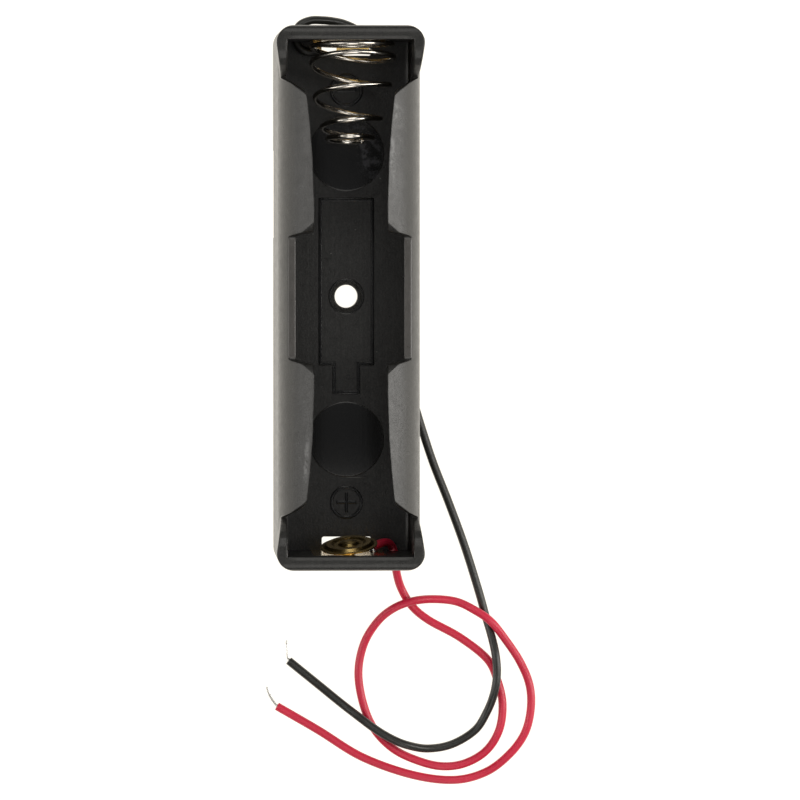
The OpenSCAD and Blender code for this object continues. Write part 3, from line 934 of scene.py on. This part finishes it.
tray.data.polygons.foreach_set("use_smooth", [True] * len(tray.data.polygons))
tray.data.set_sharp_from_angle(angle=math.radians(32))
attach(tray, "holder")
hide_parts("holder_body")
print("tray faces", len(tray.data.polygons), "verts", len(tray.data.vertices))

# ------------------------------------------------------------------ spring
WIRE = 0.75
COIL_TOP = [0, 1.05, 6.06, 11.08, 13.4, 13.3]
COIL_RAD = [5.7, 5.9, 5.4, 4.1, 3.2, 2.3]
LEAN = 0.17


def lerp(vv, t):
    t = max(0, t)
    i = min(int(math.floor(t)), len(vv) - 2)
    q = t - i
    return vv[i] * (1 - q) + vv[i + 1] * q


def softened(vv, t):
    return (lerp(vv, max(0, t - 0.2)) + lerp(vv, t) + lerp(vv, min(len(vv) - 1, t + 0.2))) / 3


def coil_pt(t):
    a = math.radians(90 + 360 * t)
    r, d = softened(COIL_RAD, t), softened(COIL_TOP, t)
    x, z = r * math.cos(a), r * math.sin(a)
    k = max(0.1, min(1, 1.7 * t))
    return (0.6 - 0.045 * d + x, LY - WIRE / 2 - d + LEAN * (1 - 0.07 * max(0, t)) * k * (z - r) - 0.055 * k * x, ZC + z + 0.03 * d)


path = [coil_pt(-0.65 + 5.3 * i / 340) for i in range(341)]
rad = [WIRE / 2] * 341
# the cut ends are a little rounded
n0, n1 = unit(np.subtract(path[0], path[1])), unit(np.subtract(path[-1], path[-2]))
lo_end = [tuple(np.array(path[0]) - 0.22 * n0 + q * n0) for q in (0.22, 0.2, 0.13)]
hi_end = [tuple(np.array(path[-1]) - 0.22 * n1 + q * n1) for q in (0.13, 0.2, 0.22)]
path = lo_end + path[2:-2] + hi_end
rad = [0.12, 0.24, 0.34] + [WIRE / 2] * 337 + [0.34, 0.24, 0.12]
v, f = tube(path, rad, 14, up=(0, 1, 0))
spring = add_mesh("coil_spring", v, f, NICKEL, sharp=60)
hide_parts("negative_spring")
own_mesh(spring)

# ------------------------------------------------------------------ contacts
for name in ("negative_plate", "positive_plate"):
    o = NODES[name]
    o.data.materials.clear()
    o.data.materials.append(BRASS)
    bev = o.modifiers.new("edge", "BEVEL")
    bev.width = 0.06 * MM
    bev.segments = 2
    bev.limit_method = "ANGLE"
o = NODES["positive_button"]
o.data.materials.clear()
o.data.materials.append(BRASS)
for name in ("negative_solder", "positive_solder"):
    o = NODES[name]
    o.data.materials.clear()
    o.data.materials.append(TIN)

# ------------------------------------------------------------------ stage and light
fv, ff = [], []
RAD, NS = 95.0, 64
fv = [(7, -15, -0.02)] + [(7 + RAD * math.cos(2 * math.pi * k / NS), -15 + RAD * math.sin(2 * math.pi * k / NS), -0.02) for k in range(NS)]
ff = [(0, 1 + k, 1 + (k + 1) % NS) for k in range(NS)]
m, nt, b = material("table")
b.inputs["Base Color"].default_value = (0.14, 0.14, 0.14, 1)
b.inputs["Emission Color"].default_value = (1.0, 0.955, 0.865, 1)
b.inputs["Emission Strength"].default_value = 1.1
b.inputs["Roughness"].default_value = 0.6
floor = add_mesh("table", fv, ff, m, sharp=None, body=None)


def area(name, loc, target, sx, sy, power, color=(1, 1, 1)):
    d = bpy.data.lights.new(name, "AREA")
    d.shape = "RECTANGLE"
    d.size, d.size_y = sx, sy
    d.energy = power
    d.color = color
    ob = bpy.data.objects.new(name, d)
    bpy.context.scene.collection.objects.link(ob)
    up = (0, 1, 0) if abs(loc[1] - target[1]) < 10 * abs(loc[0] - target[0]) + 1e-3 else (1, 0, 0)
    look_at(ob, loc, target, up)
    return ob


def box(name, loc, sx, sy, radiance, color=(1.0, 0.975, 0.93)):
    """A soft box that faces the tray, by how bright its face looks."""
    return area(name, loc, (0, 0, 0.01), sx, sy, radiance * math.pi * sx * sy, color)


box("left_box", (-0.55, 0.0, 0.235), 0.95, 0.18, 2.0)
box("right_box", (0.55, 0.0, 0.235), 0.95, 0.18, 3.9)
box("left_top_box", (-0.45, 0.0, 0.40), 0.8, 0.26, 1.0)
box("right_top_box", (0.45, 0.0, 0.40), 0.8, 0.26, 2.0)
box("far_box", (0.0, 0.42, 0.46), 0.6, 0.25, 1.7)
box("near_box", (0.0, -0.42, 0.46), 0.6, 0.25, 1.7)
world = bpy.data.worlds.new("studio")
bpy.context.scene.world = world
world.use_nodes = True
bg = world.node_tree.nodes["Background"]
bg.inputs["Color"].default_value = (0.97, 0.98, 1.0, 1)
bg.inputs["Strength"].default_value = 0.17
bpy.context.scene.view_settings.view_transform = "Standard"
